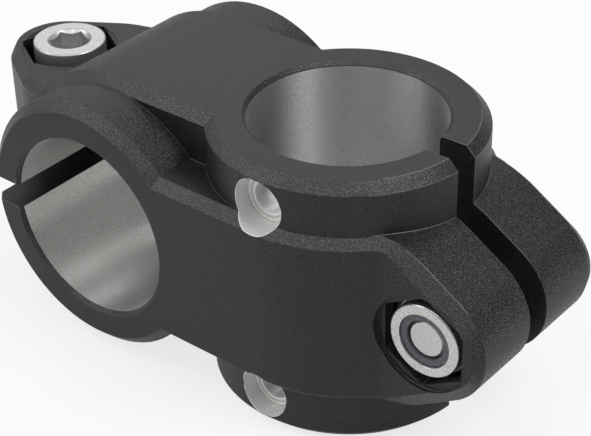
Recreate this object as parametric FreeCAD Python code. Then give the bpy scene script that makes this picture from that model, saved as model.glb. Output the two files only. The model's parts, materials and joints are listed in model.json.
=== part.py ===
import FreeCAD, Part
import math
import os

# Cross connector for two round tubes of the same size, in millimetres, +Z up.
# The upright bore runs along Z on the +X side, the lying bore along Y on the -X side.
# The origin lies midway between the two bore axes, at mid height of the upright bore.

# driving dimensions of the casting
tube_d = 40.0              # both tubes
hub_wall = 8.15            # ring wall round each bore
web = 5.5                  # material left between the two bores
face_proud = 1.85          # how far the flat faces stand outside the ring wall
beam_width = 38.3          # the bar that joins each ring to the other
edge_chamfer = 2.1         # on the rims and along the bars
mouth_chamfer = 0.8        # at both ends of each bore
slot_width = 5.7           # the split that lets a ring close

# driving dimensions of the ears
screw_reach = 12.3         # from the bore wall to the screw axis
ear_radius = 13.25         # round end of an ear, about the screw axis
ear_taper = 31.9           # slope of an ear's upper and lower face, in degrees
shoulder_radius = 20.0     # where the slope starts
ear_thickness = 40.2       # over both ears
nut_bevel = 3.2            # width of the bevel along the slope, on the nut's side
nut_tip_bevel = 1.5        # and at the ear's tip
nut_bevel_depth = 2.1      # measured along the screw
head_bevel = 1.8           # the same three on the screw head's side
head_tip_bevel = 0.6
head_bevel_depth = 2.1
root_radius = 4.0          # where an ear's outer face runs into the bar
bevel_run_out = 3.5        # past the root, where the bar's chamfer grows into the ear's bevel
spot_radius = 10.5         # round recess about each pocket
head_spot_depth = 0.3
nut_spot_depth = 0.9
head_pocket_depth = 8.2    # below the round recess
nut_pocket_depth = 10.2
head_room = 1.5            # from the head to its pocket's flats
pocket_clearance = 0.3     # each side of the nut's flats
hole_clearance = 0.5       # round the screw's shank

# driving dimensions of the two stepped side holes in the upright ring
side_hole_spacing = 44.6
side_hole_d = 6.6
counterbore_d = 11.0
counterbore_floor = 24.5   # from the bore axis

# driving dimensions of the fasteners
thread_d = 10.0
thread_clearance = 0.05    # shank to nut and to insert
screw_length = 29.7        # under the head
screw_end_chamfer = 1.4
head_d = 16.0
head_height = 10.0
head_edge = 0.4            # rounding of the head's rim
socket_flats = 8.0
socket_depth = 5.0
socket_lead = 0.3          # chamfer round the socket's mouth, past its corners
socket_point = 1.6         # cone that the drill left under the socket
upright_socket_turn = 12.0
cross_socket_turn = 11.0
nut_flats = 17.0
nut_height = 10.0
nut_hex_height = 7.2
nut_corner_slope = 30.0    # turned faces that take off the hexagon's corners, in degrees
nut_turned_d = 16.5        # where those faces meet the flat ends
collar_d = 15.8
collar_round = 0.5
lip_d = 11.4               # opening of the rolled lip
lip_thickness = 0.9
insert_d = 13.2
insert_height = 2.6
insert_drop = 0.5          # its face lies this far inside the lip
insert_hole_d = 8.4        # what the screw hasn't opened yet

# sizes that follow
tube_r = tube_d / 2
hub_r = tube_r + hub_wall
face = hub_r + face_proud            # flat faces, also half a bore's length
axis_x = (tube_d + web) / 2
beam_half = beam_width / 2
screw_x = axis_x + tube_r + screw_reach
slope = math.radians(ear_taper)
ear_half = ear_thickness / 2
root_y = ear_half + root_radius      # centre of the root's arc, whose x is the bar's end
bar_end = axis_x + math.sqrt((face + root_radius) ** 2 - root_y ** 2)
head_spot_level = ear_half - head_spot_depth
nut_spot_level = ear_half - nut_spot_depth
head_seat = head_spot_level - head_pocket_depth
nut_seat = nut_spot_level - nut_pocket_depth
screw_end = screw_length - head_seat - nut_seat      # above the nut's seat
groove_top = nut_height - lip_thickness
nut_bore_r = thread_d / 2 + thread_clearance
past = 1.0                           # how far a cutting shape runs beyond what it cuts
side_hole_z = side_hole_spacing / 2

X = FreeCAD.Vector(1, 0, 0)
Y = FreeCAD.Vector(0, 1, 0)
Z = FreeCAD.Vector(0, 0, 1)
ORIGIN = FreeCAD.Vector(0, 0, 0)
SWAP = FreeCAD.Vector(0, 1, 1)       # half a turn about this line swaps the two clamps


def swapped(shape):
    """The same thing on the other clamp."""
    copy = shape.copy()
    copy.rotate(ORIGIN, SWAP, 180)
    return copy


def disc(radius, low, high, x=0.0):
    return Part.makeCylinder(radius, high - low, FreeCAD.Vector(x, 0, low), Z)


def rims_at(solid, height):
    """The circular edges of a solid along Z that lie at one height."""
    flat = [e for e in solid.Edges if e.BoundBox.ZLength < 1e-6]
    return [e for e in flat if abs(e.BoundBox.ZMin - height) < 1e-6]


def hexagon(flats, low, high):
    """Hexagonal prism along Z, two flats square to X."""
    corner = flats / 2 / math.cos(math.radians(30))
    angles = [math.radians(30 + 60 * k) for k in range(7)]
    points = [FreeCAD.Vector(corner * math.cos(a), corner * math.sin(a), low) for a in angles]
    return Part.Face(Part.makePolygon(points)).extrude(Z * (high - low))


def hub():
    """Upright clamping ring, still without its bore."""
    ring = disc(hub_r, -face, face, axis_x)
    return ring.makeChamfer(edge_chamfer, rims_at(ring, -face) + rims_at(ring, face))


def beam_outline(z, inset):
    """Plan of the bar at height z, drawn in by inset: round about the upright bore, then the ear's root."""
    nose_r = face - inset
    root_r = root_radius + inset
    meet = math.atan2(root_y, bar_end - axis_x)
    quarter = math.pi / 2
    middle = (meet + quarter) / 2

    def nose(angle, side):
        return FreeCAD.Vector(axis_x + nose_r * math.cos(angle), side * nose_r * math.sin(angle), z)

    def root(angle, side):
        x = bar_end - root_r * math.cos(angle)
        return FreeCAD.Vector(x, side * (root_y - root_r * math.sin(angle)), z)

    def half(side):
        return [
            Part.makeLine(FreeCAD.Vector(-axis_x, side * nose_r, z), nose(quarter, side)),
            Part.Arc(nose(quarter, side), nose(middle, side), nose(meet, side)).toShape(),
            Part.Arc(root(meet, side), root(middle, side), root(quarter, side)).toShape(),
        ]

    left, right = half(-1), half(1)
    tongue = Part.makeLine(root(quarter, -1), root(quarter, 1))
    back = Part.makeLine(FreeCAD.Vector(-axis_x, nose_r, z), FreeCAD.Vector(-axis_x, -nose_r, z))
    return Part.Wire(left + [tongue] + right[::-1] + [back])


def bend_start(half, slope_gap, bend_r):
    """Where a side view's level edge starts to bend down to the slope."""
    return screw_x + (slope_gap - bend_r - (half - bend_r) * math.cos(slope)) / math.sin(slope)


def bend_height(x, half, slope_gap, bend_r):
    """Height of a side view's edge at x, level before the bend."""
    along = max(0.0, x - bend_start(half, slope_gap, bend_r))
    return half - bend_r + math.sqrt(bend_r ** 2 - along ** 2)


def side_outline(y, half, slope_gap, tip_reach, bend_r, root_x):
    """Side view of the bar and its ear at depth y, the slope lying slope_gap from the screw axis."""
    tip_x = screw_x + (tip_reach - slope_gap) / (1 - math.sin(slope))
    tip_r = screw_x + tip_reach - tip_x
    bend_x = bend_start(half, slope_gap, bend_r)

    def arc_point(x, radius, rise, angle, side):
        return FreeCAD.Vector(x + radius * math.sin(angle), y, side * (rise + radius * math.cos(angle)))

    def bend(angle, side):
        return arc_point(bend_x, bend_r, half - bend_r, angle, side)

    def tip(angle, side):
        return arc_point(tip_x, tip_r, 0, angle, side)

    low = FreeCAD.Vector(root_x, y, -half)
    high = FreeCAD.Vector(root_x, y, half)
    return Part.Wire([
        Part.makeLine(low, bend(0, -1)),
        Part.Arc(bend(0, -1), bend(slope / 2, -1), bend(slope, -1)).toShape(),
        Part.makeLine(bend(slope, -1), tip(slope, -1)),
        Part.Arc(tip(slope, -1), tip(math.pi / 2, 1), tip(slope, 1)).toShape(),
        Part.makeLine(tip(slope, 1), bend(slope, 1)),
        Part.Arc(bend(slope, 1), bend(slope / 2, 1), bend(0, 1)).toShape(),
        Part.makeLine(bend(0, 1), high),
        Part.makeLine(high, low),
    ])


def full_side(y, root_x):
    return side_outline(y, beam_half, ear_radius, ear_radius, shoulder_radius, root_x)


def beam():
    """Bar from the lying ring to the ears of the upright clamp, chamfered along its edges."""
    flat = beam_half - edge_chamfer
    sections = [(-beam_half, edge_chamfer), (-flat, 0.0), (flat, 0.0), (beam_half, edge_chamfer)]
    bar = Part.makeLoft([beam_outline(z, inset) for z, inset in sections], True, True)
    side = Part.Face(full_side(-face - past, -axis_x - past)).extrude(Y * 2 * (face + past))
    return bar.common(side)


def ears():
    """Both ears of the upright clamp as one tongue, split later; the nut's side is at -Y."""

    def bevelled(y, width, tip_width):
        bend_r = shoulder_radius - width
        gap, reach = ear_radius - width, ear_radius - tip_width
        return side_outline(y, beam_half - edge_chamfer, gap, reach, bend_r, axis_x)

    return Part.makeLoft([
        bevelled(-ear_half, nut_bevel, nut_tip_bevel),
        full_side(-ear_half + nut_bevel_depth, axis_x),
        full_side(ear_half - head_bevel_depth, axis_x),
        bevelled(ear_half, head_bevel, head_tip_bevel),
    ], True, True)


def run_out(side, rise, width, depth):
    """Wedge on which the bar's chamfer grows into an ear's bevel, at -Y or +Y, up or down."""
    low = beam_half - edge_chamfer
    back = edge_chamfer / 3          # how deep the wedge sits in the ear

    def section(x, edge, top, inset):
        corners = [(ear_half, edge), (ear_half - inset, top),
                   (ear_half - inset - back, top - back), (ear_half, edge - 2 * back)]
        points = [FreeCAD.Vector(x, side * y, rise * z) for y, z in corners]
        return Part.makePolygon(points + points[:1])

    far = bar_end + bevel_run_out
    near_top = bend_height(bar_end, beam_half, ear_radius, shoulder_radius)
    far_top = bend_height(far, beam_half, ear_radius, shoulder_radius)
    far_edge = bend_height(far, low, ear_radius - width, shoulder_radius - width)
    near = section(bar_end, low, near_top, near_top - low)
    return Part.makeLoft([near, section(far, far_edge, far_top, depth)], True, True)


def run_outs():
    sides = ((-1, nut_bevel, nut_bevel_depth), (1, head_bevel, head_bevel_depth))
    return [run_out(side, rise, width, depth) for side, width, depth in sides for rise in (-1, 1)]


def bore():
    """Tube space of the upright clamp, with the chamfers at its mouths."""
    tool = disc(tube_r, -face - past, face + past, axis_x)
    for side in (-1, 1):
        wide, narrow = tube_r + mouth_chamfer + past, tube_r
        start = FreeCAD.Vector(axis_x, 0, side * (face + past))
        tool = tool.fuse(Part.makeCone(wide, narrow, wide - narrow, start, Z * -side))
    return tool


def slot():
    length = screw_x + ear_radius - axis_x + past
    corner = FreeCAD.Vector(axis_x, -slot_width / 2, -face - past)
    return Part.makeBox(length, slot_width, 2 * (face + past), corner)


def fastener_frame(shape):
    """Turn a shape made along +Z so that it points along +Y on the upright clamp's screw axis."""
    copy = shape.copy()
    copy.rotate(ORIGIN, X, -90)
    copy.translate(X * screw_x)
    return copy


def fastener_space():
    """Pockets, round recesses and the clearance hole, along +Z with the head upwards."""
    shank_hole = disc(thread_d / 2 + hole_clearance, -nut_seat - past, head_seat + past)
    head_pocket = hexagon(head_d + 2 * head_room, head_seat, face)
    nut_pocket = hexagon(nut_flats + 2 * pocket_clearance, -face, -nut_seat)
    head_spot = disc(spot_radius, head_spot_level, face)
    nut_spot = disc(spot_radius, -face, -nut_spot_level)
    return shank_hole.fuse([head_pocket, nut_pocket, head_spot, nut_spot])


def side_holes():
    """Two stepped holes square to the upright bore, open towards -Y."""
    tools = []
    for side in (-1, 1):
        centre = FreeCAD.Vector(axis_x, 0, side * side_hole_z)
        floor = FreeCAD.Vector(axis_x, -counterbore_floor, side * side_hole_z)
        tools.append(Part.makeCylinder(side_hole_d / 2, face, centre, -Y))
        tools.append(Part.makeCylinder(counterbore_d / 2, face - counterbore_floor, floor, -Y))
    return tools


def connector_body():
    clamp = [hub(), beam(), ears()] + run_outs()
    solid = clamp[0].fuse(clamp[1:] + [swapped(s) for s in clamp])
    solid = solid.removeSplitter()
    cuts = [bore(), slot(), fastener_frame(fastener_space())]
    cuts += [swapped(s) for s in cuts]
    solid = solid.cut(cuts + side_holes())
    return solid.removeSplitter()


def clamp_screw(socket_turn):
    """Socket head cap screw along +Z, the underside of its head at z = 0."""
    shank = disc(thread_d / 2, -screw_length, 0)
    shank = shank.makeChamfer(screw_end_chamfer, rims_at(shank, -screw_length))
    head = disc(head_d / 2, 0, head_height)
    head = head.makeFillet(head_edge, rims_at(head, head_height))
    floor = head_height - socket_depth
    corner = socket_flats / 2 / math.cos(math.radians(30))
    socket = hexagon(socket_flats, floor, head_height)
    point = Part.makeCone(0, socket_flats / 2, socket_point, Z * (floor - socket_point), Z)
    mouth = corner + socket_lead
    lead = Part.makeCone(0, mouth, mouth, Z * (head_height - mouth), Z)
    socket = socket.fuse([point, lead])
    socket.rotate(ORIGIN, Z, socket_turn)
    return head.fuse(shank).cut(socket).removeSplitter()


def turned_corners(blank):
    """Take a hexagon's corners off at both ends."""
    corner = nut_flats / 2 / math.cos(math.radians(30))
    turned = nut_turned_d / 2
    drop = (corner - turned) * math.tan(math.radians(nut_corner_slope))
    low = Part.makeCone(turned, corner, drop, ORIGIN, Z)
    middle = disc(corner, drop, nut_hex_height - drop)
    high = Part.makeCone(corner, turned, drop, Z * (nut_hex_height - drop), Z)
    return blank.common(low.fuse([middle, high]))


def lock_nut():
    """Lock nut along +Z, its bearing face at z = 0, with the groove that holds the insert."""
    collar = disc(collar_d / 2, 0, nut_height)
    collar = collar.makeFillet(collar_round, rims_at(collar, nut_height))
    solid = turned_corners(hexagon(nut_flats, 0, nut_hex_height)).fuse(collar)
    solid = solid.cut([
        disc(nut_bore_r, 0, nut_height),
        disc(insert_d / 2, groove_top - insert_height, groove_top),
        disc(lip_d / 2, groove_top, nut_height),
    ])
    return solid.removeSplitter()


def nut_insert():
    """Locking ring in the nut's groove, which the screw has opened only as far as its own end."""
    low = groove_top - insert_height
    ring_face = nut_height - insert_drop
    ring = disc(insert_d / 2, low, groove_top).fuse(disc(lip_d / 2, low, ring_face))
    full = screw_end - screw_end_chamfer
    rest = nut_bore_r - insert_hole_d / 2
    threaded = disc(nut_bore_r, 0, full)
    opened = Part.makeCone(nut_bore_r, insert_hole_d / 2, rest, Z * full, Z)
    narrow = disc(insert_hole_d / 2, 0, nut_height)
    return ring.cut([threaded, opened, narrow]).removeSplitter()


def write(name, shape):
    shape.exportStep("parts/" + name + ".step")
    print(name, "valid", shape.isValid(), "solids", len(shape.Solids), "volume", round(shape.Volume, 1))


def place_screw(shape):
    copy = shape.copy()
    copy.translate(Z * head_seat)
    return fastener_frame(copy)


def place_nut(shape):
    """Turn a nut or its insert over, onto the seat on the far side of the ears."""
    copy = shape.copy()
    copy.rotate(ORIGIN, X, 180)
    copy.translate(Z * -nut_seat)
    return fastener_frame(copy)


os.makedirs("parts", exist_ok=True)
write("connector_body", connector_body())
write("upright_clamp_screw", place_screw(clamp_screw(upright_socket_turn)))
write("cross_clamp_screw", swapped(place_screw(clamp_screw(cross_socket_turn))))
write("upright_lock_nut", place_nut(lock_nut()))
write("cross_lock_nut", swapped(place_nut(lock_nut())))
write("upright_nut_insert", place_nut(nut_insert()))
write("cross_nut_insert", swapped(place_nut(nut_insert())))
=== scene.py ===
import bpy
import bmesh
import json
import math
from contextlib import contextmanager
from mathutils import Matrix, Vector


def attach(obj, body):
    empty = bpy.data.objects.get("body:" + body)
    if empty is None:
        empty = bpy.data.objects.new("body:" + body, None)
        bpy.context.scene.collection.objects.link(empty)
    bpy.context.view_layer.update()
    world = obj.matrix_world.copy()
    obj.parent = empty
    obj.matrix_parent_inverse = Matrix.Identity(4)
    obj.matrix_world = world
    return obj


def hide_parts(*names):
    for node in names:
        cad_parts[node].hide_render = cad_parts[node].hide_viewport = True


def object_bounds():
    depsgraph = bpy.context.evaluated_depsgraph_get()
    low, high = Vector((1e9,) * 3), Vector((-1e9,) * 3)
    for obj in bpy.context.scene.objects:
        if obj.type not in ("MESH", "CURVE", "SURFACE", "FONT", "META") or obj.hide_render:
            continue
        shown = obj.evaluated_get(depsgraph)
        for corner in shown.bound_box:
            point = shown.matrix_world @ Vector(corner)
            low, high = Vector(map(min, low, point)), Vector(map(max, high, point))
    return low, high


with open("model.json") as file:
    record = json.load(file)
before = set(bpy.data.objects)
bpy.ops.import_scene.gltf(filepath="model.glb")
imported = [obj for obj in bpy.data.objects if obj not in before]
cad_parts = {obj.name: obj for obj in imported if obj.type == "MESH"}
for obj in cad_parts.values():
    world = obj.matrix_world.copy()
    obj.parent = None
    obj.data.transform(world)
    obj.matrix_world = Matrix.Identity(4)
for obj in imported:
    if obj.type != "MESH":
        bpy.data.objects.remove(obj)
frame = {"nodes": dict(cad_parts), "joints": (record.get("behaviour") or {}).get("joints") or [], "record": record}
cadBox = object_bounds()
scene = bpy.context.scene
mm = 0.001
mounts = {m["name"]: m for m in frame["record"]["mounts"]}

# camera at the photograph's viewing angle
cameraSetup = {
    "azimuth": 39.70,          # degrees, 0 looks along +Y
    "elevation": 33.16,
    "roll": -1.26,
    "distance": 359.7 * mm,
    "target": (6.5 * mm, 2.9 * mm, -3.0 * mm),
    "lens": 103.7,             # lens and sensor in millimetres, as Blender takes them
    "sensor": 36.0,
    "nearest": 10 * mm,
}


def addCamera():
    back = towards(cameraSetup["azimuth"], cameraSetup["elevation"])
    data = bpy.data.cameras.new("camera")
    data.sensor_width = cameraSetup["sensor"]
    data.lens = cameraSetup["lens"]
    data.clip_start = cameraSetup["nearest"]
    camera = bpy.data.objects.new("camera", data)
    scene.collection.objects.link(camera)
    camera.location = Vector(cameraSetup["target"]) + back * cameraSetup["distance"]
    turned = (-back).to_track_quat("-Z", "Y").to_matrix()
    rolled = turned @ Matrix.Rotation(math.radians(cameraSetup["roll"]), 3, "Z")
    camera.rotation_euler = rolled.to_euler()
    scene.camera = camera
    print("camera placed")


def addNode(tree, kind, inputs=None, **settings):
    node = tree.nodes.new(kind)
    for name, value in settings.items():
        setattr(node, name, value)
    for name, value in (inputs or {}).items():
        socket = node.inputs[name]
        if isinstance(value, bpy.types.NodeSocket):
            tree.links.new(value, socket)
        else:
            socket.default_value = value
    return node


def calc(tree, operation, *values, clamp=False):
    inputs = dict(enumerate(values))
    kind = "ShaderNodeMath"
    return addNode(tree, kind, inputs, operation=operation, use_clamp=clamp).outputs[0]


def ramp(tree, value, start, end, kind="LINEAR"):
    # 0 below start, 1 above end
    inputs = {"Value": value, "From Min": start, "From Max": end}
    return addNode(tree, "ShaderNodeMapRange", inputs, interpolation_type=kind).outputs[0]


def rampDown(tree, value, start, end):
    # 1 below start, 0 above end
    inputs = {"Value": value, "From Min": start, "From Max": end, "To Min": 1.0, "To Max": 0.0}
    return addNode(tree, "ShaderNodeMapRange", inputs, interpolation_type="SMOOTHSTEP").outputs[0]


def mixNumber(tree, factor, a, b):
    return addNode(tree, "ShaderNodeMix", {"Factor": factor, "A": a, "B": b}).outputs["Result"]


def newMaterial(name):
    material = bpy.data.materials.new(name)
    material.use_nodes = True
    tree = material.node_tree
    return material, tree, tree.nodes["Principled BSDF"]


# studio: a pale floor, a white surround and soft lamps
studioSetup = {
    "floorSize": 3.0,
    "floorColor": (0.84, 0.84, 0.84, 1),
    "floorRoughness": 0.9,
    "floorGlow": 0.78,         # share of plain white that the camera sees on the floor
    "floorMirrored": 0.40,     # and that reflections see there
    "ambient": 0.30,           # light from all round
    "lamps": [
        # name, azimuth and elevation in degrees, distance and side in metres, watts
        ("highLamp", 99, 53, 0.50, 0.20, 1.30),
        ("frontLamp", 8, 62, 0.50, 0.20, 0.38),
        ("lowFrontLamp", -30, 20, 0.50, 0.30, 0.18),
        ("leftLamp", -50, 42, 0.55, 0.24, 0.74),
        ("backLeftLamp", -120, 34, 0.50, 0.35, 0.36),
        ("backLamp", -160, 45, 0.50, 0.30, 0.38),
    ],
}


def towards(azimuth, elevation):
    # azimuth 0 is the side that faces -Y, elevation is above the floor
    azimuth, elevation = math.radians(azimuth), math.radians(elevation)
    level = math.cos(elevation)
    return Vector((math.sin(azimuth) * level, -math.cos(azimuth) * level, math.sin(elevation)))


def seenDirectly(tree):
    path = addNode(tree, "ShaderNodeLightPath")
    camera, glossy = path.outputs["Is Camera Ray"], path.outputs["Is Glossy Ray"]
    through = path.outputs["Is Transmission Ray"]
    return camera, calc(tree, "MAXIMUM", glossy, through)


def addSurround():
    world = bpy.data.worlds.new("surround")
    world.use_nodes = True
    scene.world = world
    tree = world.node_tree
    camera, reflected = seenDirectly(tree)
    background = tree.nodes["Background"]
    background.inputs["Color"].default_value = (1, 1, 1, 1)
    strength = mixNumber(tree, camera, studioSetup["ambient"], 1.0)
    tree.links.new(strength, background.inputs["Strength"])


def addFloor():
    half = studioSetup["floorSize"] / 2
    low = cadBox[0].z
    mesh = bpy.data.meshes.new("floor")
    corners = [(x * half, y * half, low) for x, y in ((-1, -1), (1, -1), (1, 1), (-1, 1))]
    mesh.from_pydata(corners, [], [(0, 1, 2, 3)])
    floor = bpy.data.objects.new("floor", mesh)
    scene.collection.objects.link(floor)
    material, tree, paint = newMaterial("floorPaint")
    paint.inputs["Base Color"].default_value = studioSetup["floorColor"]
    paint.inputs["Roughness"].default_value = studioSetup["floorRoughness"]
    camera, reflected = seenDirectly(tree)
    glow = addNode(tree, "ShaderNodeEmission", {"Color": (1, 1, 1, 1), "Strength": 1.0})
    share = calc(tree, "MULTIPLY", camera, studioSetup["floorGlow"])
    share = calc(tree, "MULTIPLY_ADD", reflected, studioSetup["floorMirrored"], share)
    parts = {0: share, 1: paint.outputs[0], 2: glow.outputs[0]}
    mixed = addNode(tree, "ShaderNodeMixShader", parts)
    tree.links.new(mixed.outputs[0], tree.nodes["Material Output"].inputs["Surface"])
    mesh.materials.append(material)


def addLamps():
    for name, azimuth, elevation, distance, side, watts in studioSetup["lamps"]:
        data = bpy.data.lights.new(name, "AREA")
        data.size = side
        data.energy = watts
        lamp = bpy.data.objects.new(name, data)
        scene.collection.objects.link(lamp)
        out = towards(azimuth, elevation)
        lamp.location = out * distance
        lamp.rotation_euler = (-out).to_track_quat("-Z", "Y").to_euler()
    scene.view_settings.view_transform = "Standard"
    print("studio lit")


# every piece is a copy of its solid, with flat areas joined and sharp edges broken
meshSetup = {
    "weld": 0.03 * mm,         # points nearer than this are joined
    "flatness": 0.5,           # degrees between two faces that become one
    "sharpest": 25,            # degrees between two faces whose edge is broken
}


@contextmanager
def editing(mesh):
    work = bmesh.new()
    work.from_mesh(mesh)
    yield work
    work.to_mesh(mesh)
    work.free()


def joinFlat(work):
    angle = math.radians(meshSetup["flatness"])
    bmesh.ops.dissolve_limit(work, angle_limit=angle, verts=work.verts, edges=work.edges)


def mergedCopy(node, name, weld=meshSetup["weld"]):
    mesh = node.data.copy()
    mesh.name = name
    mesh.materials.clear()
    with editing(mesh) as work:
        bmesh.ops.remove_doubles(work, verts=work.verts, dist=weld)
        joinFlat(work)
    return mesh


def plainMesh(maker):
    # what the modifiers make, as a mesh of its own
    depsgraph = bpy.context.evaluated_depsgraph_get()
    made = maker.evaluated_get(depsgraph)
    mesh = bpy.data.meshes.new_from_object(made, depsgraph=depsgraph)
    maker.modifiers.clear()
    return mesh


def breakEdges(mesh, name, width, sharpest=meshSetup["sharpest"], material=-1):
    # a small rounding along every sharp edge, with a material of its own if asked
    maker = bpy.data.objects.new(name, mesh)
    scene.collection.objects.link(maker)
    mesh.shade_smooth()
    bevel = maker.modifiers.new("brokenEdges", "BEVEL")
    bevel.width = width
    bevel.segments = 2
    bevel.limit_method = "ANGLE"
    bevel.angle_limit = math.radians(sharpest)
    bevel.use_clamp_overlap = False
    bevel.material = material
    even = maker.modifiers.new("evenNormals", "WEIGHTED_NORMAL")
    even.keep_sharp = False
    maker.data = plainMesh(maker)
    maker.data.name = name
    return maker


# casting: black coated, with bare bores and stepped holes
castingSetup = {
    "weld": 0.06 * mm,         # closes slivers narrower than this
    "edgeRound": 0.14 * mm,    # width of the rounding along each edge
    "counterboreRadius": 5.5 * mm,
    "boreSlack": 0.02 * mm,    # how far a bare face may lie outside its bore
    "rimSlack": 0.16 * mm,     # takes in the rounding of a stepped hole's rim
    "holesBehind": -19.0 * mm, # the stepped holes lie beyond this y
}
coatFinish = {
    "dark": (0.002, 0.002, 0.002, 1),
    "light": (0.070, 0.0695, 0.065, 1),
    "shine": 0.38,             # specular level
    "roughness": 0.37,
    "roughSpread": 0.12,
    "grainScale": 4000.0,      # grains to the metre
    "grainDetail": 1.0,
    "grainStep": (0.52, 0.67), # noise from which the grain goes from dark to light
    "flatGrain": 0.30,         # share of the grain on flat and upright faces
    "flatTone": 0.095,         # between dark and light, where there is no grain
    "paintedLightTone": (0.094, 0.0935, 0.088, 1),  # painted light: lighter on bevels along X that face forward and up, as lamps would light them
    "paintedLightShare": (0.30, 0.95), # of that painted light, between the grains and on them
    "grainDepth": 0.10 * mm,
    "swellScale": 420.0,
    "swellDepth": 0.010 * mm,
    # how far the surface normal leans, as a share of 1: its Z, then its Y times its Z
    "level": (0.93, 0.995),    # slopes give way to level faces
    "upright": (0.05, 0.30),   # and upright faces to slopes
    "forward": (0.10, 0.40),   # from where the painted light begins
}
edgeHighlightFinish = {
    "color": (0.075, 0.075, 0.073, 1),   # painted highlight along the edges of the ears
    "beyond": 43.0 * mm,                 # how far out in X that is
    "within": 19.5 * mm,                 # how far from the ears' middle, along the screw
    "above": 9.5 * mm,                   # and across it
    "roughness": 0.36,
}
machinedFinish = {
    # one machined metal: the upright bore is painted darker and the cross bore lighter, painted shade and painted
    # light for how much light reaches each
    "upright": ((0.48, 0.478, 0.472, 1), (0.63, 0.627, 0.62, 1)),
    "cross": ((0.62, 0.617, 0.605, 1), (0.78, 0.776, 0.76, 1)),
    "hole": ((0.80, 0.80, 0.79, 1), (0.97, 0.97, 0.96, 1)),
    "holeMetallic": 0.38,
    "roughness": 0.43,
    "roughSpread": 0.08,
    "stretch": 0.88,           # anisotropy that the ring marks of the cut give
    "grainScale": 3200.0,
    "speckStep": (0.38, 0.62), # noise from which the metal goes from dark to light
    "grainDepth": 0.010 * mm,
    "ringPitch": 1.10 * mm,    # on the floors of the stepped holes
    "ringDepth": 0.030 * mm,
    "ringDark": (0.56, 0.56, 0.545, 1),
}


def finishAt(point):
    # 0 coated, 1 upright bore, 2 cross bore, 3 stepped holes
    for number, name in ((1, "upright_bore"), (2, "cross_bore")):
        mount = mounts[name]
        offset = point - Vector(mount["pos_m"])
        along = Vector(mount["axis"]).normalized()
        aside = (offset - along * offset.dot(along)).length
        if aside < mount["dims"]["r_mm"] * mm + castingSetup["boreSlack"]:
            return number
    holes = mounts["side_screw_holes"]
    up = abs(point.z) - holes["dims"]["spacing_y_mm"] / 2 * mm
    reach = math.hypot(point.x - holes["pos_m"][0], up)
    behind = point.y < castingSetup["holesBehind"]
    rim = castingSetup["counterboreRadius"] + castingSetup["rimSlack"]
    return 3 if behind and reach < rim else 0


def catchesEdgeHighlight(point):
    # the painted edge highlight lies on the ears alone, whose screw runs along Y at +X and along Z at -X
    out, along, across = (abs(c) for c in point)
    if point.x < 0:
        along, across = across, along
    onEar = out >= edgeHighlightFinish["beyond"] and along <= edgeHighlightFinish["within"]
    return onEar and across >= edgeHighlightFinish["above"]


def makeCasting():
    name = "coatedCasting"
    copy = mergedCopy(frame["nodes"]["connector_body"], name, castingSetup["weld"])
    # the two bores share one metal, with painted shade in the upright one and painted light in the cross one
    bores = [boreMaterial("upright", "Z"), boreMaterial("cross", "Y")]
    for material in [coatMaterial()] + bores + [holeMaterial(), edgeHighlightMaterial()]:
        copy.materials.append(material)
    # the rounded edges of the ears get the painted edge highlight
    edgeHighlightSlot = len(copy.materials) - 1
    casting = breakEdges(copy, name, castingSetup["edgeRound"], material=edgeHighlightSlot)
    mesh = casting.data
    finishes = [finishAt(v.co) for v in mesh.vertices]
    for face in mesh.polygons:
        if not catchesEdgeHighlight(face.center):
            face.material_index = 0
        found = {finishes[v] for v in face.vertices} | {finishAt(face.center)}
        if len(found) == 1 and 0 not in found:
            face.material_index = found.pop()
    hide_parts("connector_body")
    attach(casting, "casting")
    print("casting finished:", len(casting.data.polygons), "faces")


def noise(tree, place, scale, detail=2.0):
    inputs = {"Vector": place, "Scale": scale, "Detail": detail}
    return addNode(tree, "ShaderNodeTexNoise", inputs).outputs["Fac"]


def blendColor(tree, factor, a, b):
    inputs = {"Factor": factor, "A": a, "B": b}
    return addNode(tree, "ShaderNodeMix", inputs, data_type="RGBA").outputs["Result"]


def vary(tree, surface, speck, mean, spread):
    # the lighter specks are the smoother ones
    rough = mixNumber(tree, speck, mean + spread, mean - spread)
    tree.links.new(rough, surface.inputs["Roughness"])


def roughen(tree, surface, height):
    bump = addNode(tree, "ShaderNodeBump", {"Height": height, "Strength": 1.0, "Distance": 1.0})
    tree.links.new(bump.outputs[0], surface.inputs["Normal"])


def grainAndGlintSlopes(tree):
    # 1 on chamfers and slopes, 0 on level and upright faces: where the coat's grain is laid, its light specks
    # partly painted glints
    normal = addNode(tree, "ShaderNodeTexCoord").outputs["Normal"]
    parts = addNode(tree, "ShaderNodeSeparateXYZ", {0: normal})
    rise = calc(tree, "ABSOLUTE", parts.outputs["Z"])
    level = rampDown(tree, rise, *coatFinish["level"])
    upright = rampDown(tree, rise, *coatFinish["upright"])
    return calc(tree, "SUBTRACT", level, upright, clamp=True)


def paintedLightShare(tree):
    # 1 on bevels and chamfers that lean both forward and upward, where light is painted in
    normal = addNode(tree, "ShaderNodeTexCoord").outputs["Normal"]
    parts = addNode(tree, "ShaderNodeSeparateXYZ", {0: normal})
    lean = calc(tree, "ABSOLUTE", calc(tree, "MULTIPLY", parts.outputs["Y"], parts.outputs["Z"]))
    return calc(tree, "SUBTRACT", 1.0, rampDown(tree, lean, *coatFinish["forward"]))


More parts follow.
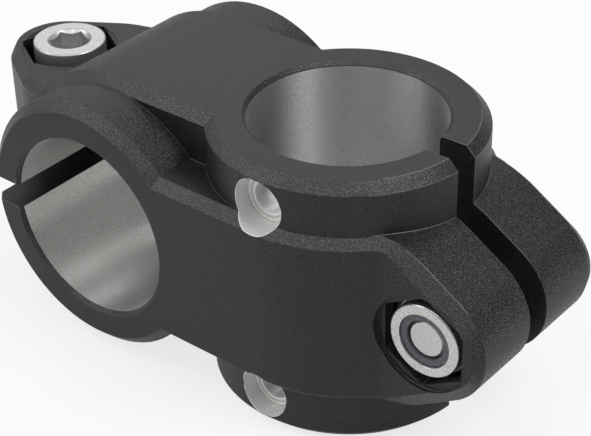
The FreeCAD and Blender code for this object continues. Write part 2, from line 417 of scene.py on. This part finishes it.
def coatMaterial():
    material, tree, surface = newMaterial("coatedCasting")
    place = addNode(tree, "ShaderNodeTexCoord").outputs["Object"]
    grain = noise(tree, place, coatFinish["grainScale"], coatFinish["grainDetail"])
    swell = noise(tree, place, coatFinish["swellScale"])
    # real grain of the coat, strongest on slopes, whose light specks also stand in for glints: partly painted
    # highlight
    share = mixNumber(tree, grainAndGlintSlopes(tree), coatFinish["flatGrain"], 1.0)
    step = ramp(tree, grain, *coatFinish["grainStep"], "SMOOTHSTEP")
    speck = mixNumber(tree, share, coatFinish["flatTone"], step)
    color = blendColor(tree, speck, coatFinish["dark"], coatFinish["light"])
    # painted light: bevels that lean forward and up are made lighter, as the lamps would light them
    paintedLightAmount = mixNumber(tree, step, *coatFinish["paintedLightShare"])
    paintedLightAmount = calc(tree, "MULTIPLY", paintedLightShare(tree), paintedLightAmount)
    color = blendColor(tree, paintedLightAmount, color, coatFinish["paintedLightTone"])
    tree.links.new(color, surface.inputs["Base Color"])
    vary(tree, surface, speck, coatFinish["roughness"], coatFinish["roughSpread"])
    surface.inputs["Specular IOR Level"].default_value = coatFinish["shine"]
    height = calc(tree, "MULTIPLY", calc(tree, "MULTIPLY", grain, share), coatFinish["grainDepth"])
    roughen(tree, surface, calc(tree, "MULTIPLY_ADD", swell, coatFinish["swellDepth"], height))
    return material


def edgeHighlightMaterial():
    # painted highlight: a lighter, smoother coat on the rounded edges, where lamps would glint
    material, tree, surface = newMaterial("paintedEdgeHighlight")
    surface.inputs["Base Color"].default_value = edgeHighlightFinish["color"]
    surface.inputs["Roughness"].default_value = edgeHighlightFinish["roughness"]
    surface.inputs["Specular IOR Level"].default_value = coatFinish["shine"]
    return material


def machinedSurface(name):
    material, tree, surface = newMaterial(name + "Machined")
    place = addNode(tree, "ShaderNodeTexCoord").outputs["Object"]
    grain = noise(tree, place, machinedFinish["grainScale"])
    speck = ramp(tree, grain, *machinedFinish["speckStep"])
    color = blendColor(tree, speck, *machinedFinish[name])
    tree.links.new(color, surface.inputs["Base Color"])
    surface.inputs["Metallic"].default_value = 1.0
    vary(tree, surface, speck, machinedFinish["roughness"], machinedFinish["roughSpread"])
    height = calc(tree, "MULTIPLY", grain, machinedFinish["grainDepth"])
    return material, tree, surface, place, height


def boreMaterial(name, axis):
    # the light is drawn out along the bore, as the ring marks of the cut do
    material, tree, surface, _, height = machinedSurface(name)
    surface.inputs["Anisotropic"].default_value = machinedFinish["stretch"]
    along = addNode(tree, "ShaderNodeCombineXYZ", {axis: 1.0})
    tree.links.new(along.outputs[0], surface.inputs["Tangent"])
    roughen(tree, surface, height)
    return material


def holeMaterial():
    # stepped holes, with ring marks about the axis of each
    material, tree, surface, place, height = machinedSurface("hole")
    surface.inputs["Metallic"].default_value = machinedFinish["holeMetallic"]
    holes = mounts["side_screw_holes"]
    x, y, z = addNode(tree, "ShaderNodeSeparateXYZ", {0: place}).outputs
    aside = calc(tree, "SUBTRACT", x, holes["pos_m"][0])
    up = calc(tree, "SUBTRACT", calc(tree, "ABSOLUTE", z), holes["dims"]["spacing_y_mm"] / 2 * mm)
    squares = [calc(tree, "POWER", part, 2.0) for part in (aside, up)]
    reach = calc(tree, "SQRT", calc(tree, "ADD", *squares))
    turns = math.tau / machinedFinish["ringPitch"]
    ring = calc(tree, "SINE", calc(tree, "MULTIPLY", reach, turns))
    roughen(tree, surface, calc(tree, "MULTIPLY_ADD", ring, machinedFinish["ringDepth"], height))
    share = calc(tree, "MULTIPLY_ADD", ring, 0.5, 0.5)
    plain = surface.inputs["Base Color"].links[0].from_socket
    color = blendColor(tree, share, machinedFinish["ringDark"], plain)
    tree.links.new(color, surface.inputs["Base Color"])
    return material


# fasteners
zincFinish = {
    "dark": (0.46, 0.46, 0.45, 1),
    "light": (0.64, 0.64, 0.63, 1),
    "metallic": 0.88,
    "screwRoughness": 0.38,
    "nutRoughness": 0.28,
    "roughSpread": 0.06,
    "mottleScale": 2600.0,
    "mottleDetail": 4.0,
    "speckStep": (0.3, 0.7),
    "mottleDepth": 0.005 * mm,
}
nylonFinish = {
    "dark": (0.055, 0.055, 0.070, 1),
    "light": (0.105, 0.105, 0.128, 1),
    "roughness": 0.42,
    "grainScale": 1800.0,
    "speckStep": (0.3, 0.7),
    "grainDepth": 0.010 * mm,
}


def zincMaterial(piece):
    material, tree, surface = newMaterial(piece + "Zinc")
    place = addNode(tree, "ShaderNodeTexCoord").outputs["Object"]
    mottle = noise(tree, place, zincFinish["mottleScale"], zincFinish["mottleDetail"])
    speck = ramp(tree, mottle, *zincFinish["speckStep"])
    color = blendColor(tree, speck, zincFinish["dark"], zincFinish["light"])
    tree.links.new(color, surface.inputs["Base Color"])
    surface.inputs["Metallic"].default_value = zincFinish["metallic"]
    vary(tree, surface, speck, zincFinish[piece + "Roughness"], zincFinish["roughSpread"])
    roughen(tree, surface, calc(tree, "MULTIPLY", mottle, zincFinish["mottleDepth"]))
    return material


def nylonMaterial():
    material, tree, surface = newMaterial("nylon")
    place = addNode(tree, "ShaderNodeTexCoord").outputs["Object"]
    grain = noise(tree, place, nylonFinish["grainScale"])
    speck = ramp(tree, grain, *nylonFinish["speckStep"])
    color = blendColor(tree, speck, nylonFinish["dark"], nylonFinish["light"])
    tree.links.new(color, surface.inputs["Base Color"])
    surface.inputs["Roughness"].default_value = nylonFinish["roughness"]
    roughen(tree, surface, calc(tree, "MULTIPLY", grain, nylonFinish["grainDepth"]))
    return material


# screws: the head of the solid with its edges broken, and a real thread
screwSetup = {
    "edgeRound": 0.10 * mm,
    "sharpest": 42,            # degrees, spares the rounding of the head's rim
    "headHeight": 10.0 * mm,
    "headSlack": 0.01 * mm,    # how far under its seat a point still belongs to the head
    "threadInHead": 0.3 * mm,  # how far the thread's sheet reaches into the head
    "threadRadius": 4.95 * mm,
    "threadDepth": 0.5413,     # of the pitch
    "threadWeld": 0.002 * mm,
    "pitch": 1.5 * mm,
    "endChamfer": 1.4 * mm,
    "runOut": 2.2 * mm,        # under the head, where the groove grows shallow
    "columns": 60,             # points round one turn
}
clamps = {
    # joint of the screw, and the turn that lays a screw along Z with its head up onto its axis
    "upright": ("upright_screw_turn", Matrix.Rotation(math.radians(-90), 4, "X")),
    "cross": ("cross_screw_turn", Matrix.Rotation(math.radians(180), 4, "Z")),
}


def clampPlace(clamp):
    jointName, turn = clamps[clamp]
    joint = next(j for j in frame["joints"] if j["name"] == jointName)
    return Matrix.Translation(joint["pos_m"]) @ turn


def threadTree():
    tree = bpy.data.node_groups.new("screwThread", "GeometryNodeTree")
    face = tree.interface
    sizes = ["Radius", "Pitch", "Start", "End", "Chamfer", "Run Out"]
    for name in sizes:
        face.new_socket(name, in_out="INPUT", socket_type="NodeSocketFloat")
    for name in ("Rows", "Columns"):
        face.new_socket(name, in_out="INPUT", socket_type="NodeSocketInt")
    face.new_socket("Material", in_out="INPUT", socket_type="NodeSocketMaterial")
    face.new_socket("Geometry", in_out="OUTPUT", socket_type="NodeSocketGeometry")
    given = addNode(tree, "NodeGroupInput").outputs
    rows = given["Rows"]

    # a sheet whose columns run round the screw and whose rows follow the helix, four to a turn
    sheet = addNode(tree, "GeometryNodeMeshGrid", {
        "Size X": 1.0, "Size Y": 1.0, "Vertices X": given["Columns"], "Vertices Y": rows})
    spot = addNode(tree, "GeometryNodeInputPosition").outputs[0]
    flat = addNode(tree, "ShaderNodeSeparateXYZ", {0: spot})
    turned = calc(tree, "ADD", flat.outputs["X"], 0.5)
    lastRow = calc(tree, "SUBTRACT", rows, 1.0)
    row = calc(tree, "MULTIPLY", calc(tree, "ADD", flat.outputs["Y"], 0.5), lastRow)
    row = calc(tree, "ROUND", row)
    step = calc(tree, "MODULO", row, 4.0)
    turn = calc(tree, "FLOOR", calc(tree, "DIVIDE", row, 4.0))

    # root, flank, crest and flank of a metric thread, as shares of the pitch
    flank, crest = 0.3125, 0.125
    firstFlank = calc(tree, "MULTIPLY", calc(tree, "MINIMUM", step, 1.0), flank)
    onCrest = calc(tree, "SUBTRACT", step, 1.0, clamp=True)
    along = calc(tree, "MULTIPLY_ADD", onCrest, crest, firstFlank)
    onLastFlank = calc(tree, "SUBTRACT", step, 2.0, clamp=True)
    along = calc(tree, "MULTIPLY_ADD", onLastFlank, flank, along)
    along = calc(tree, "ADD", calc(tree, "ADD", along, turned), calc(tree, "SUBTRACT", turn, 2.0))
    height = calc(tree, "MULTIPLY_ADD", along, given["Pitch"], given["Start"])
    height = calc(tree, "MAXIMUM", calc(tree, "MINIMUM", height, given["End"]), given["Start"])

    fromCrest = calc(tree, "ABSOLUTE", calc(tree, "SUBTRACT", step, 1.5))
    isCrest = calc(tree, "LESS_THAN", fromCrest, 1.0)
    depth = calc(tree, "MULTIPLY", given["Pitch"], screwSetup["threadDepth"])
    toEnd = calc(tree, "SUBTRACT", given["End"], height)
    runOut = calc(tree, "DIVIDE", toEnd, given["Run Out"], clamp=True)
    depth = calc(tree, "MULTIPLY", depth, runOut)
    groove = calc(tree, "MULTIPLY", calc(tree, "SUBTRACT", 1.0, isCrest), depth)
    radius = calc(tree, "SUBTRACT", given["Radius"], groove)
    cone = calc(tree, "SUBTRACT", height, given["Start"])
    cone = calc(tree, "ADD", calc(tree, "SUBTRACT", given["Radius"], given["Chamfer"]), cone)
    radius = calc(tree, "MINIMUM", radius, cone)
    isInner = calc(tree, "MULTIPLY", calc(tree, "GREATER_THAN", row, 0.5),
                   calc(tree, "LESS_THAN", row, calc(tree, "SUBTRACT", lastRow, 0.5)))
    radius = calc(tree, "MULTIPLY", radius, isInner)

    angle = calc(tree, "MULTIPLY", turned, math.tau)
    place = addNode(tree, "ShaderNodeCombineXYZ", {
        "X": calc(tree, "MULTIPLY", radius, calc(tree, "COSINE", angle)),
        "Y": calc(tree, "MULTIPLY", radius, calc(tree, "SINE", angle)),
        "Z": height})
    wound = addNode(tree, "GeometryNodeSetPosition", {
        "Geometry": sheet.outputs["Mesh"], "Position": place.outputs[0]})
    closed = addNode(tree, "GeometryNodeMergeByDistance", {
        "Geometry": wound.outputs[0], "Distance": screwSetup["threadWeld"]})
    real = addNode(tree, "GeometryNodeRealizeInstances", {0: closed.outputs[0]})
    coated = addNode(tree, "GeometryNodeSetMaterial", {
        "Geometry": real.outputs[0], "Material": given["Material"]})
    tree.links.new(coated.outputs[0], addNode(tree, "NodeGroupOutput").inputs["Geometry"])
    return tree


def makeThread(tree, start, end, material):
    maker = bpy.data.objects.new("thread", bpy.data.meshes.new("thread"))
    scene.collection.objects.link(maker)
    modifier = maker.modifiers.new("thread", "NODES")
    modifier.node_group = tree
    turns = math.ceil((end - start) / screwSetup["pitch"]) + 4
    values = {
        "Radius": screwSetup["threadRadius"], "Pitch": screwSetup["pitch"],
        "Start": start, "End": end,
        "Chamfer": screwSetup["endChamfer"], "Run Out": screwSetup["runOut"],
        "Rows": 4 * turns + 1, "Columns": screwSetup["columns"] + 1,
        "Material": material,
    }
    for item in tree.interface.items_tree:
        if item.in_out == "INPUT":
            modifier[item.identifier] = values[item.name]
    mesh = plainMesh(maker)
    bpy.data.objects.remove(maker)
    with editing(mesh) as work:
        bmesh.ops.dissolve_degenerate(work, edges=work.edges, dist=screwSetup["threadWeld"])
        bmesh.ops.recalc_face_normals(work, faces=work.faces)
    return mesh


def makeScrew(clamp, tree, material):
    name = clamp + "_clamp_screw"
    place = clampPlace(clamp)
    mesh = mergedCopy(frame["nodes"][name], clamp + "Screw")
    mesh.transform(place.inverted())
    top = max(v.co.z for v in mesh.vertices)
    bottom = min(v.co.z for v in mesh.vertices)
    seat = top - screwSetup["headHeight"]

    with editing(mesh) as work:
        shank = [v for v in work.verts if v.co.z < seat - screwSetup["headSlack"]]
        bmesh.ops.delete(work, geom=shank, context="VERTS")
        edges = [e for e in work.edges if e.is_boundary]
        bmesh.ops.holes_fill(work, edges=edges, sides=0)
        joinFlat(work)
        bmesh.ops.recalc_face_normals(work, faces=work.faces)
    screw = breakEdges(mesh, clamp + "Screw", screwSetup["edgeRound"], screwSetup["sharpest"])
    screw.data.materials.append(material)

    thread = makeThread(tree, bottom, seat + screwSetup["threadInHead"], material)
    with editing(screw.data) as work:
        work.from_mesh(thread)
    screw.data.transform(place)
    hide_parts(name)
    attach(screw, clamp + "_screw")
    print(clamp, "screw finished:", len(screw.data.polygons), "faces")


nutSetup = {
    "edgeRound": 0.15 * mm,
}


def makeNut(clamp, zinc, nylon):
    parts = [("lock_nut", zinc, "zinc_steel"), ("nut_insert", nylon, "nylon_ring")]
    for part, finish, slot in parts:
        node = frame["nodes"][clamp + "_" + part]
        name = clamp + part.title().replace("_", "")
        piece = breakEdges(mergedCopy(node, name), name, nutSetup["edgeRound"])
        piece.data.materials.append(finish)
        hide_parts(node.name)
        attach(piece, clamp + "_nut")
    print(clamp, "nut finished")


addCamera()
addSurround()
addFloor()
addLamps()
makeCasting()
threads = threadTree()
screwZinc = zincMaterial("screw")
nutZinc = zincMaterial("nut")
nylon = nylonMaterial()
for clamp in clamps:
    makeScrew(clamp, threads, screwZinc)
    makeNut(clamp, nutZinc, nylon)
